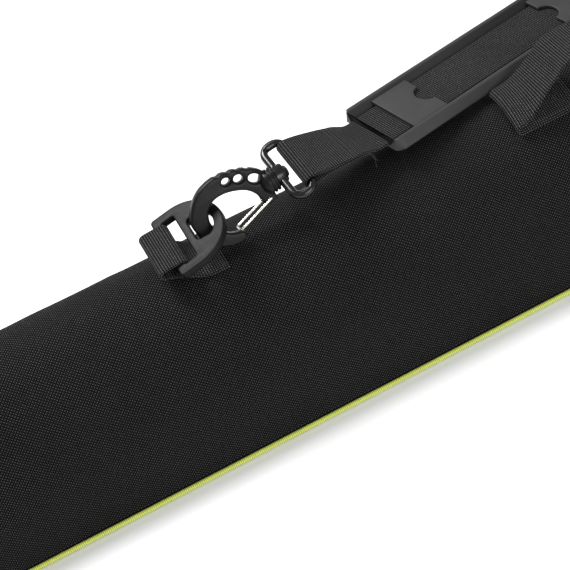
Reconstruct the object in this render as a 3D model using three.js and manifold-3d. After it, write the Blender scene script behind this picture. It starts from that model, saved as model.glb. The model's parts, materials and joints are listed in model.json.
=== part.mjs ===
// A long hard-shell rod case: a domed, fabric-covered lid on a flat base, closed by a zip
// round the back and the ends, with a carry handle and a clip-on shoulder strap.
// Millimetres. X runs along the case, Y across it (the zip is at +Y), Z up from the floor.
import * as THREE from "three";
import { mergeVertices } from "three/addons/utils/BufferGeometryUtils.js";
import Module from "manifold-3d";

const wasm = await Module();
wasm.setup();

// ---------- driving dimensions ----------
const CASE_LENGTH = 1500;
const HALF_WIDTH = 80; // semi-axis of the half-ellipse section across the case
const DOME_HEIGHT = 137.5; // semi-axis of the section upwards
const SECTION_BASE = 3; // height of the ellipse's centre line
const END_RADIUS = 45; // rounding of the moulded ends
const WALL = 8; // foam and fabric of the lid
const LINING_GAP = 0.3;
const LINING = 2;
const GAP = 0.3; // clearance kept between pieces that touch
const TOP = SECTION_BASE + DOME_HEIGHT;

const BASE_THICKNESS = 4.6;
const BASE_EDGE = 1.2;
const BASE_PAD_INSET = 12;
const BASE_PAD_HEIGHT = 8;
const PIPING_WIDTH = 3.8;
const PIPING_LOW = 0.5;

const HINGE_HEIGHT = 5; // the near bottom seam that the lid turns about
const RIM = 22; // lower edge of the lid where the zip runs
const HINGE_END = CASE_LENGTH / 2 - 55; // the zip starts here on the near side
const TAPE_INSET = 1;
const TAPE = 1.4;
const COIL_WIDTH = 2.4;
const COIL_THICKNESS = 2;
const ZIP_MIDDLE = 13.6;
const ZIP_OPENING = 1.6; // between the two coils

const WEBBING_WIDTH = 40;
const WEBBING = 1.8;

const TOP_LINE = -6; // the tabs and the handle are sewn a little to the near side
const ANCHOR_END = 376; // inner, stitched end of the sewn strap tab, from the middle
const ANCHOR_FOLD = 422;
const RING_BAR = 409.5; // end bar of the strap ring, from the middle
const RING_BAR_HEIGHT = TOP + 17;
const RING_TILT = THREE.MathUtils.degToRad(16); // pull end up
const RING_ROLL = THREE.MathUtils.degToRad(12); // near side down
const RING_THICKNESS = 7;
const RING_EYE = 29; // centre of the eye, from the end bar

const HOOK_RISE = THREE.MathUtils.degToRad(8);
const HOOK_LEAN = THREE.MathUtils.degToRad(20);
const HOOK_THICKNESS = 8;
const HOOK_SEAT = 3; // the hook's bend sits this far back in the ring's eye
const EYE_TURN = THREE.MathUtils.degToRad(52); // swivel eye turned against the hook
const EYE_NEAR = 66.6;
const EYE_FAR = 89.6;
const EYE_HALF_LENGTH = 28.5;
const EYE_BAR = 6.4;

const PAD_START = 68; // along the strap from the swivel eye
const PAD_LENGTH = 260;
const PAD_HALF_WIDTH = 32.5;
const PAD_BRIDGE = 36;
const PAD_BRIDGE_START = 24;

const HANDLE_END = 131;
const HANDLE_LINE = -14;
const HANDLE_RISE = 36;
const GRIP_HALF_LENGTH = 58;

const CRADLE_SPACING = 450;
const CRADLE_LENGTH = 60;
const CRADLE_TOP = 50;
const CRADLE_HALF_WIDTH = 56;
const ROD_PITCH = 37;
const ROD_NOTCH = 13;

const SLIDER_X = 14;

// ---------- materials ----------
const finish = (colour, roughness, metalness = 0) =>
  new THREE.MeshStandardMaterial({ color: colour, roughness, metalness });
const fabric = finish(0x242428, 0.85);
const lining = finish(0x303236, 0.9);
const foam = finish(0x3a3c40, 0.95);
const webbing = finish(0x1e1e20, 0.8);
const lime = finish(0xbec95a, 0.7);
const plastic = finish(0x2c2c2e, 0.45);
const glossPlastic = finish(0x202022, 0.3);
const rubber = finish(0x38383a, 0.5);
const nickel = finish(0xc8c4bc, 0.25, 1);
const metalBlack = finish(0x1a1a1c, 0.4, 1);

// ---------- helpers ----------
const X = new THREE.Vector3(1, 0, 0);
const Y = new THREE.Vector3(0, 1, 0);
const Z = new THREE.Vector3(0, 0, 1);
const at = (x, y, z) => new THREE.Vector3(x, y, z);
const along = (start, direction, distance) => start.clone().addScaledVector(direction, distance);

function solid(geometry) {
  const bare = geometry.clone();
  bare.deleteAttribute("normal");
  bare.deleteAttribute("uv");
  const merged = mergeVertices(bare, 1e-4);
  return new wasm.Manifold(
    new wasm.Mesh({
      numProp: 3,
      vertProperties: new Float32Array(merged.attributes.position.array),
      triVerts: new Uint32Array(merged.index.array),
    }),
  );
}

function geometryOf(made) {
  const mesh = made.getMesh();
  const geometry = new THREE.BufferGeometry();
  geometry.setAttribute("position", new THREE.BufferAttribute(mesh.vertProperties, 3));
  geometry.setIndex(new THREE.BufferAttribute(mesh.triVerts, 1));
  const flat = geometry.toNonIndexed();
  flat.computeVertexNormals();
  return flat;
}

const cut = (from, ...tools) =>
  geometryOf(tools.reduce((body, tool) => body.subtract(solid(tool)), solid(from)));
const join = (first, ...others) =>
  geometryOf(others.reduce((body, other) => body.add(solid(other)), solid(first)));
const common = (a, b) => geometryOf(solid(a).intersect(solid(b)));

function box(x0, x1, y0, y1, z0, z1) {
  const geometry = new THREE.BoxGeometry(x1 - x0, y1 - y0, z1 - z0);
  return geometry.translate((x0 + x1) / 2, (y0 + y1) / 2, (z0 + z1) / 2);
}

// A rod of the given radius between two points.
function rod(from, to, radius, sides = 12) {
  const axis = to.clone().sub(from);
  const geometry = new THREE.CylinderGeometry(radius, radius, axis.length(), sides);
  geometry.applyQuaternion(new THREE.Quaternion().setFromUnitVectors(Y, axis.clone().normalize()));
  return geometry.translate((from.x + to.x) / 2, (from.y + to.y) / 2, (from.z + to.z) / 2);
}

// A solid of revolution about X, from points of (distance along X, radius).
function turned(points, sides = 18) {
  const profile = points.map(([x, radius]) => new THREE.Vector2(radius, x));
  return new THREE.LatheGeometry(profile, sides).rotateZ(-Math.PI / 2);
}

// An outline in the plane (first axis, second axis) made thick both ways along their normal.
function plate(shape, thickness, edge = 0, curveSegments = 5) {
  const geometry = new THREE.ExtrudeGeometry(shape, {
    depth: thickness - 2 * edge,
    bevelEnabled: edge > 0,
    bevelThickness: edge,
    bevelSize: edge,
    bevelOffset: -edge,
    bevelSegments: 1,
    curveSegments,
  });
  return geometry.translate(0, 0, -(thickness - 2 * edge) / 2);
}

// Local (x, y, z) of a geometry laid on three world directions from an origin.
function placed(geometry, origin, xAxis, yAxis, zAxis) {
  const matrix = new THREE.Matrix4().makeBasis(xAxis, yAxis, zAxis).setPosition(origin);
  return geometry.clone().applyMatrix4(matrix);
}

function rectangle(halfX, halfY, radius, centreX = 0) {
  const shape = new THREE.Shape();
  const left = centreX - halfX;
  const right = centreX + halfX;
  shape.moveTo(left + radius, -halfY);
  shape.lineTo(right - radius, -halfY);
  shape.absarc(right - radius, -halfY + radius, radius, -Math.PI / 2, 0);
  shape.lineTo(right, halfY - radius);
  shape.absarc(right - radius, halfY - radius, radius, 0, Math.PI / 2);
  shape.lineTo(left + radius, halfY);
  shape.absarc(left + radius, halfY - radius, radius, Math.PI / 2, Math.PI);
  shape.lineTo(left, -halfY + radius);
  shape.absarc(left + radius, -halfY + radius, radius, Math.PI, 1.5 * Math.PI);
  return shape;
}

// A flat strip of webbing along a curve; widthAt(u) gives the direction of its width.
function ribbon(curve, widthAt, width, thickness, steps) {
  const section = new THREE.Shape();
  section.moveTo(-width / 2, -thickness / 2);
  section.lineTo(width / 2, -thickness / 2);
  section.lineTo(width / 2, thickness / 2);
  section.lineTo(-width / 2, thickness / 2);
  const geometry = new THREE.ExtrudeGeometry(section, { depth: 1, steps, bevelEnabled: false });
  curve.arcLengthDivisions = 1200;
  const position = geometry.attributes.position;
  for (let i = 0; i < position.count; i++) {
    const u = THREE.MathUtils.clamp(position.getZ(i), 0, 1);
    const tangent = curve.getTangentAt(u);
    const across = widthAt(u).clone().addScaledVector(tangent, -widthAt(u).dot(tangent)).normalize();
    const normal = tangent.clone().cross(across);
    const point = curve.getPointAt(u);
    point.addScaledVector(across, position.getX(i)).addScaledVector(normal, position.getY(i));
    position.setXYZ(i, point.x, point.y, point.z);
  }
  return geometry;
}

// Points of an arc about a centre, in the plane of two directions, angles in degrees.
function arcPoints(centre, first, second, radius, from, to, count) {
  return Array.from({ length: count + 1 }, (_, i) => {
    const angle = THREE.MathUtils.degToRad(from + ((to - from) * i) / count);
    return centre
      .clone()
      .addScaledVector(first, radius * Math.cos(angle))
      .addScaledVector(second, radius * Math.sin(angle));
  });
}

const smooth = (points) => new THREE.CatmullRomCurve3(points, false, "centripetal");

const model = new THREE.Group();
function add(name, geometry, material, parent = model) {
  const mesh = new THREE.Mesh(geometry, material);
  mesh.name = name;
  parent.add(mesh);
}

// ---------- the domed section ----------
// The dome grown outwards by `grow`, from just under the section's centre line up.
function dome(grow) {
  const a = HALF_WIDTH + grow;
  const skirt = 70;
  const shape = new THREE.Shape();
  shape.moveTo(a, -skirt);
  shape.lineTo(a, 0);
  shape.absellipse(0, 0, a, DOME_HEIGHT + grow, 0, Math.PI);
  shape.lineTo(-a, -skirt);
  const radius = END_RADIUS + grow;
  const geometry = new THREE.ExtrudeGeometry(shape, {
    depth: CASE_LENGTH - 2 * END_RADIUS,
    bevelEnabled: true,
    bevelThickness: radius,
    bevelSize: radius,
    bevelOffset: -radius,
    bevelSegments: 5,
    curveSegments: 22,
  });
  geometry.translate(0, SECTION_BASE, -CASE_LENGTH / 2 + END_RADIUS);
  return placed(geometry, at(0, 0, 0), Y, Z, X);
}

// Plan outline of the case, grown by `grow`, between two heights.
function planBlock(grow, low, high, edge = 0) {
  const shape = rectangle(CASE_LENGTH / 2 + grow, HALF_WIDTH + grow, END_RADIUS + grow);
  const block = plate(shape, high - low, edge);
  return block.translate(0, 0, (low + high) / 2);
}

const FAR_OUT = 2000;
const below = (height) => box(-FAR_OUT, FAR_OUT, -300, 300, -100, height);

function lidShell() {
  const shell = cut(dome(0), dome(-WALL), below(HINGE_HEIGHT + 0.5));
  const behind = box(-FAR_OUT, FAR_OUT, -HALF_WIDTH + 20, 300, -100, RIM);
  const leftEnd = box(-FAR_OUT, -HINGE_END, -300, 300, -100, RIM);
  const rightEnd = box(HINGE_END, FAR_OUT, -300, 300, -100, RIM);
  return cut(shell, behind, leftEnd, rightEnd);
}

function lidLining() {
  const outer = -WALL - LINING_GAP;
  return cut(dome(outer), dome(outer - LINING), below(RIM + 2));
}

// A band round the plan outline, left open along the near side where the lid is hinged.
function openBand(outside, inside, low, high) {
  const nearSide = box(-HINGE_END, HINGE_END, -300, -HALF_WIDTH + 20, low - 1, high + 1);
  return cut(planBlock(outside, low, high), planBlock(inside, low - 1, high + 1), nearSide);
}

function buildBase() {
  add("base_board", planBlock(0, 0, BASE_THICKNESS, BASE_EDGE), fabric);
  const piping = cut(
    planBlock(GAP + PIPING_WIDTH, PIPING_LOW, PIPING_LOW + PIPING_WIDTH, BASE_EDGE),
    planBlock(GAP, -1, 2 * PIPING_WIDTH),
  );
  add("base_piping", piping, lime);
  const padLow = BASE_THICKNESS + GAP;
  add("base_pad", planBlock(-BASE_PAD_INSET, padLow, padLow + BASE_PAD_HEIGHT, 2), lining);
  const coilTop = ZIP_MIDDLE - ZIP_OPENING / 2;
  const tapeInner = -TAPE_INSET - TAPE;
  add("zip_tape_base", openBand(-TAPE_INSET, tapeInner, HINGE_HEIGHT, coilTop - 0.2), webbing);
  const coilInner = -TAPE_INSET + GAP;
  const coilOuter = coilInner + COIL_THICKNESS;
  add("zip_coil_base", openBand(coilOuter, coilInner, coilTop - COIL_WIDTH, coilTop), metalBlack);
}

function buildLid() {
  add("lid_shell", lidShell(), fabric);
  add("lid_lining", lidLining(), lining);
  const coilLow = ZIP_MIDDLE + ZIP_OPENING / 2;
  const tapeInner = -TAPE_INSET - TAPE;
  add("zip_tape_lid", openBand(-TAPE_INSET, tapeInner, coilLow + 0.2, RIM - GAP), webbing);
  const coilInner = -TAPE_INSET + GAP;
  const coilOuter = coilInner + COIL_THICKNESS;
  add("zip_coil_lid", openBand(coilOuter, coilInner, coilLow, coilLow + COIL_WIDTH), metalBlack);
}

// ---------- inside: foam cradles for the rods and the straps over them ----------
function cradle(x) {
  const low = BASE_THICKNESS + 2 * GAP + BASE_PAD_HEIGHT;
  const half = CRADLE_LENGTH / 2;
  const block = box(x - half, x + half, -CRADLE_HALF_WIDTH, CRADLE_HALF_WIDTH, low, CRADLE_TOP);
  const notches = [-ROD_PITCH, 0, ROD_PITCH].flatMap((y) => {
    const centre = CRADLE_TOP - 14;
    const past = half + 5;
    return [
      rod(at(x - past, y, centre), at(x + past, y, centre), ROD_NOTCH, 20),
      box(x - past, x + past, y - ROD_NOTCH, y + ROD_NOTCH, centre, CRADLE_TOP + 5),
    ];
  });
  return cut(block, ...notches);
}

function rodStrap(x) {
  const half = 12.5;
  const inner = CRADLE_HALF_WIDTH + GAP;
  const outer = inner + 1.5;
  const low = BASE_THICKNESS + 2 * GAP + BASE_PAD_HEIGHT;
  const top = CRADLE_TOP + GAP + 1.5;
  const whole = box(x - half, x + half, -outer, outer, low, top);
  return cut(whole, box(x - half - 1, x + half + 1, -inner, inner, low - 1, CRADLE_TOP + GAP));
}

function buildInside() {
  const places = { left: -CRADLE_SPACING, centre: 0, right: CRADLE_SPACING };
  for (const [place, x] of Object.entries(places)) {
    add("rod_cradle_" + place, cradle(x), foam);
    add("rod_strap_" + place, rodStrap(x), webbing);
  }
}

// ---------- zip sliders ----------
// A slider's two plates lie either side of the coils, joined by a post between them.
function sliderBody(x) {
  const half = 7;
  const coilFace = HALF_WIDTH - TAPE_INSET + GAP + COIL_THICKNESS;
  const outerLow = coilFace + GAP;
  const outerHigh = outerLow + 1.8;
  const innerHigh = HALF_WIDTH - TAPE_INSET - TAPE - GAP;
  const outerPlate = box(x - half, x + half, outerLow, outerHigh, ZIP_MIDDLE - 4.4, ZIP_MIDDLE + 4.4);
  const innerPlate = box(x - half, x + half, innerHigh - 1.7, innerHigh, ZIP_MIDDLE - 4, ZIP_MIDDLE + 4);
  const post = box(x - 2, x + 2, innerHigh - 1, outerLow + 1, ZIP_MIDDLE - 0.5, ZIP_MIDDLE + 0.5);
  const lug = box(x - 2.4, x + 2.4, outerHigh - 0.5, PULL_AXIS_Y + 2, ZIP_MIDDLE - 1.6, ZIP_MIDDLE + 1.6);
  const pinHole = rod(at(x, PULL_AXIS_Y, 0), at(x, PULL_AXIS_Y, 30), 1.2);
  return cut(join(outerPlate, innerPlate, post, lug), pinHole);
}

const PULL_AXIS_Y = 86.2;
function sliderPull(x, side) {
  const pin = rod(at(0, 0, -3.2), at(0, 0, 3.2), 0.85);
  const arms = [-2.6, 2.6].map((z) => box(-1, 10, -0.9, 0.9, z - 0.6, z + 0.6));
  const tab = rectangle(14, 4.4, 2, 22);
  const tag = placed(plate(tab, 1.8), at(0, 0, 0), X, Z, Y.clone().negate());
  const hole = rod(at(30, -3, 0), at(30, 3, 0), 1.6);
  const pull = cut(join(pin, ...arms, tag), hole);
  if (side < 0) pull.rotateZ(Math.PI);
  return pull.translate(x, PULL_AXIS_Y, ZIP_MIDDLE);
}

function buildSliders() {
  for (const [name, side] of [["left", -1], ["right", 1]]) {
    add("zip_slider_" + name, sliderBody(side * SLIDER_X), metalBlack);
    add("zip_pull_" + name, sliderPull(side * SLIDER_X, side), metalBlack);
  }
}

// ---------- the ring's own directions: its bar rolled about X, then its pull end raised ----------
const RING_ACROSS = at(0, Math.cos(RING_ROLL), Math.sin(RING_ROLL));
const RING_NORMAL_UP = at(0, -Math.sin(RING_ROLL), Math.cos(RING_ROLL));
const PULL_DIRECTION = at(Math.cos(RING_TILT), 0, 0).addScaledVector(RING_NORMAL_UP, Math.sin(RING_TILT));
const RING_NORMAL = PULL_DIRECTION.clone().cross(RING_ACROSS);

// ---------- webbing sewn to the lid ----------
// A ply of webbing that lies on the dome's curved top between two places along X.
function sewnPly(x0, x1, y = 0) {
  const skin = cut(dome(GAP + WEBBING), dome(GAP));
  return common(skin, box(x0, x1, y - WEBBING_WIDTH / 2, y + WEBBING_WIDTH / 2, TOP - 30, TOP + 10));
}

// The strap tab at the left: sewn flat, folded back at its outer end, round the ring's end bar.
function anchorTab() {
  const bar = at(-RING_BAR, TOP_LINE, RING_BAR_HEIGHT);
  const wrap = RING_THICKNESS / 2 + GAP + WEBBING / 2 + 0.4;
  const sewn = TOP + GAP + WEBBING / 2;
  const foldRadius = 4.4;
  const foldCentre = at(-ANCHOR_FOLD, TOP_LINE, bar.z - 0.5);
  const curve = smooth([
    at(-ANCHOR_FOLD + 40, TOP_LINE, sewn),
    at(-ANCHOR_FOLD + 30, TOP_LINE, sewn),
    ...arcPoints(foldCentre, X, RING_NORMAL_UP, foldRadius, -90, -270, 8),
    ...arcPoints(bar, X, RING_NORMAL_UP, wrap, 110, -90, 10),
    at(-RING_BAR - 8, TOP_LINE, bar.z - wrap + 0.4),
  ]);
  const rolled = (u) => Y.clone().lerp(RING_ACROSS, THREE.MathUtils.smoothstep(u, 0, 0.25));
  const loop = ribbon(curve, rolled, WEBBING_WIDTH, WEBBING, 48);
  return join(sewnPly(-ANCHOR_FOLD + 26, -ANCHOR_END, TOP_LINE), loop);
}

// The carry handle: sewn plies folded back at the outer ends and arched over the lid.
function handleWebbing() {
  const sewn = TOP + GAP + WEBBING / 2;
  const foldRadius = 3.6;
  const rise = TOP + HANDLE_RISE;
  const half = [
    at(-HANDLE_END + 24, 0, sewn),
    at(-HANDLE_END + 12, 0, sewn),
    ...arcPoints(at(-HANDLE_END, 0, sewn + foldRadius), X, Z, foldRadius, -90, -270, 8),
    at(-HANDLE_END + 14, 0, TOP + 11),
    at(-HANDLE_END + 32, 0, TOP + 22),
    at(-HANDLE_END + 44, 0, rise - 4),
    at(-GRIP_HALF_LENGTH - 2, 0, rise),
    at(-GRIP_HALF_LENGTH / 2, 0, rise),
  ];
  const mirrored = half.map((point) => at(-point.x, 0, point.z)).reverse();
  const strap = ribbon(smooth([...half, at(0, 0, rise), ...mirrored]), () => Y, WEBBING_WIDTH, WEBBING, 72);
  const plies = [-1, 1].map((side) =>
    side < 0 ? sewnPly(-HANDLE_END, -HANDLE_END + 50, HANDLE_LINE) : sewnPly(HANDLE_END - 50, HANDLE_END, HANDLE_LINE),
  );
  return join(strap.translate(0, HANDLE_LINE, 0), ...plies);
}

function handleGrip() {
  const section = new THREE.Shape().absellipse(0, 0, 25, 8.5, 0, 2 * Math.PI);
  section.holes.push(rectangle(WEBBING_WIDTH / 2 + 0.6, WEBBING / 2 + 0.6, 0.5));
  const sleeve = new THREE.ExtrudeGeometry(section, {
    depth: 2 * GRIP_HALF_LENGTH,
    bevelEnabled: false,
    curveSegments: 12,
  });
  return placed(sleeve, at(-GRIP_HALF_LENGTH, HANDLE_LINE, TOP + HANDLE_RISE), Y, Z, X);
}

// ---------- strap ring ----------
function ringOutline() {
  const halfWidth = 29;
  const shape = new THREE.Shape();
  const corner = 4;
  const legEnd = 13;
  const tip = 46;
  shape.moveTo(-3.4 + corner, -halfWidth);
  shape.lineTo(legEnd, -halfWidth);
  shape.absellipse(legEnd, 0, tip - legEnd, halfWidth, -Math.PI / 2, Math.PI / 2);
  shape.lineTo(-3.4 + corner, halfWidth);
  shape.absarc(-3.4 + corner, halfWidth - corner, corner, Math.PI / 2, Math.PI);
  shape.lineTo(-3.4, -halfWidth + corner);
  shape.absarc(-3.4 + corner, -halfWidth + corner, corner, Math.PI, 1.5 * Math.PI);
  shape.holes.push(rectangle(5.3, WEBBING_WIDTH / 2 + 1.2, 1.5, 8.7));
  const eye = new THREE.Path();
  const eyeLeft = 20.4;
  const eyeHalf = 11.5;
  eye.moveTo(eyeLeft + 3, -eyeHalf + 1);
  eye.absellipse(27, 0, 11, eyeHalf + 0.8, -0.4 * Math.PI, 0.4 * Math.PI);
  eye.lineTo(eyeLeft + 3, eyeHalf - 1);
  eye.absarc(eyeLeft + 3, eyeHalf - 4, 3, Math.PI / 2, Math.PI);
  eye.lineTo(eyeLeft, -eyeHalf + 4);
  eye.absarc(eyeLeft + 3, -eyeHalf + 4, 3, Math.PI, 1.5 * Math.PI);
  shape.holes.push(eye);
  return shape;
}

function strapRing() {
  const origin = at(-RING_BAR, TOP_LINE, RING_BAR_HEIGHT);
  return placed(plate(ringOutline(), RING_THICKNESS, 1.7), origin, PULL_DIRECTION, RING_ACROSS, RING_NORMAL);
}

// ---------- snap hook, in its own plane: s along the swivel axis, v towards the spine ----------
const LEAN = at(0, Math.sin(HOOK_LEAN), Math.cos(HOOK_LEAN));
const HOOK_AXIS = X.clone().multiplyScalar(Math.cos(HOOK_RISE)).addScaledVector(LEAN, Math.sin(HOOK_RISE));
const HOOK_SPINE = X.clone().multiplyScalar(-Math.sin(HOOK_RISE)).addScaledVector(LEAN, Math.cos(HOOK_RISE));
const HOOK_NORMAL = HOOK_AXIS.clone().cross(HOOK_SPINE);
const EYE_CENTRE = along(at(-RING_BAR, TOP_LINE, RING_BAR_HEIGHT), PULL_DIRECTION, RING_EYE);
const HOOK_ORIGIN = along(EYE_CENTRE, HOOK_AXIS, -HOOK_SEAT);
const BAR_DIRECTION = HOOK_SPINE.clone()
  .multiplyScalar(Math.cos(EYE_TURN))
  .addScaledVector(HOOK_NORMAL, -Math.sin(EYE_TURN));
const BARREL_START = 57;
const BARREL_END = 66;
const BOSS_END = 74.6;
const STUD_RADIUS = 3;
const GATE_PIVOT = { s: 57.3, v: -9.5 };
const GATE_TIP = { s: 24.4, v: -17.6 };
const GATE_WIRE = 0.9;
const GATE_OFFSET = HOOK_THICKNESS / 2 + GAP + GATE_WIRE;

const inHook = (geometry) => placed(geometry, HOOK_ORIGIN, HOOK_AXIS, HOOK_SPINE, HOOK_NORMAL);
const points2 = (pairs) => pairs.map(([s, v]) => new THREE.Vector2(s, v));

function hookOutline() {
  const shape = new THREE.Shape();
  shape.moveTo(61.5, 9.5);
  shape.splineThru(points2([[56.6, 15.5], [46.4, 22], [36, 25.6], [25.8, 27], [12.7, 24.4], [2.8, 17.4], [-4.1, 7], [-4, -7]]));
  shape.splineThru(points2([[1, -16.6], [9.5, -23], [16, -25.9], [24.6, -26.4]]));
  shape.lineTo(26.8, -20.9);
  shape.splineThru(points2([[18, -16.6], [11, -8.6], [8.4, -1.2], [11.4, 7], [18, 11.8]]));
  shape.splineThru(points2([[26.4, 12.2], [35.7, 9.3], [44.4, 3.6], [48.8, -4], [49.6, -10.6]]));
  shape.lineTo(54, -14);
  shape.lineTo(61.5, -13);
  return shape;
}

// An oval finger hole through the spine, turned to run along it.
function fingerHole(s, v, halfLength, halfWidth, turn) {
  const oval = new THREE.Shape().absellipse(0, 0, halfLength, halfWidth, 0, 2 * Math.PI);
  const geometry = plate(oval, 3 * HOOK_THICKNESS);
  return geometry.rotateZ(THREE.MathUtils.degToRad(turn)).translate(s, v, 0);
}

function snapHook() {
  const body = plate(hookOutline(), HOOK_THICKNESS, 1.2, 2);
  const rim = 9.6;
  const groove = rim - 0.9;
  const barrel = turned([
    [BARREL_START - 3, 0],
    [BARREL_START - 3, 5],
    [BARREL_START + 1.5, rim],
    [BARREL_START + 3, rim],
    [BARREL_START + 3.4, groove],
    [BARREL_START + 4.4, groove],
    [BARREL_START + 4.8, rim],
    [BARREL_START + 6, rim],
    [BARREL_START + 6.4, groove],
    [BARREL_START + 7.2, groove],
    [BARREL_START + 7.6, rim],
    [BARREL_END, rim],
    [BARREL_END, 0],
  ]);
  const boreRadius = STUD_RADIUS + GAP;
  const bore = turned([
    [BARREL_START + 1, 0],
    [BARREL_START + 1, boreRadius],
    [BARREL_END + 5, boreRadius],
    [BARREL_END + 5, 0],
  ]);
  const holes = [
    fingerHole(33.8, 19.6, 3.4, 1.9, -14),
    fingerHole(43, 15.6, 4, 2.5, -26),
    fingerHole(52.4, 9.6, 5.6, 2.9, -42),
  ];
  const gripCuts = [[29.6, 27], [38, 25.4], [45.6, 22.8], [52.4, 19]].map(([s, v]) =>
    rod(at(s, v + 0.8, -10), at(s, v + 0.8, 10), 1.7, 10),
  );
  const pivotHole = rod(at(GATE_PIVOT.s, GATE_PIVOT.v, -10), at(GATE_PIVOT.s, GATE_PIVOT.v, 10), GATE_WIRE + GAP);
  return inHook(cut(join(body, barrel), bore, ...holes, ...gripCuts, pivotHole));
}

// The sprung gate: one wire bent to a narrow U, its ends joined by the pivot.
function hookGate() {
  const ends = [GATE_PIVOT, GATE_TIP];
  const sides = [-GATE_OFFSET, GATE_OFFSET].map((z) =>
    rod(at(ends[0].s, ends[0].v, z), at(ends[1].s, ends[1].v, z), GATE_WIRE, 10),
  );
  const bars = ends.map(({ s, v }) =>
    rod(at(s, v, -GATE_OFFSET - GATE_WIRE), at(s, v, GATE_OFFSET + GATE_WIRE), GATE_WIRE, 10),
  );
  return inHook(join(sides[0], sides[1], ...bars));
}

function swivelStud() {
  const headStart = BOSS_END + GAP;
  const stud = turned([
    [BARREL_START + 1.5, 0],
    [BARREL_START + 1.5, STUD_RADIUS],
    [headStart, STUD_RADIUS],
    [headStart, 4.4],
    [headStart + 1.2, 4.4],
    [headStart + 2.2, 3],
    [headStart + 2.2, 0],
  ]);
  return inHook(stud);
}

// The swivel eye: a rounded loop for the webbing, with a boss that turns on the stud.
function swivelEye() {
  const middle = (EYE_NEAR + EYE_FAR) / 2;
  const halfDepth = (EYE_FAR - EYE_NEAR) / 2;
  const outline = rectangle(halfDepth, EYE_HALF_LENGTH, halfDepth - 0.5, middle);
  outline.holes.push(rectangle(halfDepth - EYE_BAR, EYE_HALF_LENGTH - EYE_BAR, 3, middle));
  const loop = plate(outline, EYE_BAR, 2);
  const bossStart = BARREL_END + GAP;
  const bossRadius = 7.6;
  const boreRadius = STUD_RADIUS + GAP;
  const boss = turned([[bossStart, 0], [bossStart, bossRadius], [BOSS_END, bossRadius], [BOSS_END, 0]]);
  const bore = turned([[BARREL_END - 1, 0], [BARREL_END - 1, boreRadius], [BOSS_END + 2, boreRadius], [BOSS_END + 2, 0]]);
  const eye = cut(join(loop, boss), bore);
  const normal = HOOK_AXIS.clone().cross(BAR_DIRECTION);
  return placed(eye, HOOK_ORIGIN, HOOK_AXIS, BAR_DIRECTION, normal);
}

function buildAnchor(name, parent) {
  add("anchor_tab_" + name, anchorTab(), webbing, parent);
  add("d_ring_" + name, strapRing(), plastic, parent);
  add("snap_hook_" + name, snapHook(), plastic, parent);
  add("hook_gate_" + name, hookGate(), nickel, parent);
  add("swivel_stud_" + name, swivelStud(), plastic, parent);
  add("swivel_eye_" + name, swivelEye(), glossPlastic, parent);
}

// ---------- shoulder strap ----------
const FAR_BAR = along(HOOK_ORIGIN, HOOK_AXIS, EYE_FAR - EYE_BAR / 2);
const WRAP = EYE_BAR / 2 + GAP + WEBBING / 2 + 0.85; // from a bar's middle to the webbing's
const UNDER_PLY = 52; // the cut end, folded back under the strap
const PLY_SPACING = 2.6;
const TWIST_FROM = 12;
const TWIST_TO = 72;
const mirrorX = (vector) => at(-vector.x, vector.y, vector.z);
const squareTo = (vector, axis) =>
  vector.clone().addScaledVector(axis, -vector.dot(axis) / axis.lengthSq()).normalize();

// One end of the strap: its bar, the way it leads off, and its width at the bar and beyond.
const LEAD_DIRECTION = at(0.93, 0.22, -0.3).normalize(); // from the swivel eye to the pad
const STRAP_DIRECTION = at(0.946, 0.3, -0.105).normalize(); // along the pad
const PAD_ACROSS = squareTo(at(-0.28, 0.95, 0.1), STRAP_DIRECTION);
const PAD_NORMAL = STRAP_DIRECTION.clone().cross(PAD_ACROSS);
const LEFT_END = {
  bar: FAR_BAR,
  direction: LEAD_DIRECTION,
  barAcross: BAR_DIRECTION,
  across: PAD_ACROSS,
  turn: 1,
};
const RIGHT_DIRECTION = at(-0.86, 0.46, -0.21).normalize();
const RIGHT_BAR_ACROSS = mirrorX(BAR_DIRECTION);
const RIGHT_END = {
  bar: mirrorX(FAR_BAR),
  direction: RIGHT_DIRECTION,
  barAcross: RIGHT_BAR_ACROSS,
  across: squareTo(RIGHT_BAR_ACROSS, RIGHT_DIRECTION),
  turn: -1,
};

const twistShare = (distance) => THREE.MathUtils.smoothstep(distance, TWIST_FROM, TWIST_TO);
const acrossAt = (end, distance) => end.barAcross.clone().lerp(end.across, twistShare(distance)).normalize();
const normalAt = (end, distance) =>
  end.direction.clone().cross(acrossAt(end, distance)).multiplyScalar(end.turn).normalize();

// Where the upper ply leaves an end's bar.
const plyStart = (end) => along(end.bar, normalAt(end, 0), WRAP);
const upperPly = (end, distance) => along(plyStart(end), end.direction, distance);
const underPly = (end, distance, drop) => along(upperPly(end, distance), normalAt(end, distance), -drop);

const padOrigin = () => upperPly(LEFT_END, PAD_START);

// The folded end, from the cut end of the under ply, round the bar, to the upper ply.
function foldedEnd(end) {
  const forward = squareTo(end.direction, end.barAcross);
  return [
    underPly(end, UNDER_PLY, PLY_SPACING),
    underPly(end, UNDER_PLY * 0.65, PLY_SPACING),
    underPly(end, 20, PLY_SPACING + 1.2),
    ...arcPoints(end.bar, forward, normalAt(end, 0), WRAP, -75, -270, 12),
  ];
}

function strapCurve() {
  const lead = [22, 44].map((d) => upperPly(LEFT_END, d));
  const start = padOrigin();
  const straight = [-9, 5, 80, 140, 200, 260, 290, 305].map((d) => along(start, STRAP_DIRECTION, d));
  const back = [at(105, 103, TOP - 3), at(152, 85, TOP + 4)];
  const rightStraight = [100, 75, 50, 25].map((d) => upperPly(RIGHT_END, d));
  const right = foldedEnd(RIGHT_END).reverse();
  return smooth([...foldedEnd(LEFT_END), ...lead, ...straight, ...back, ...rightStraight, ...right]);
}

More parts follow.
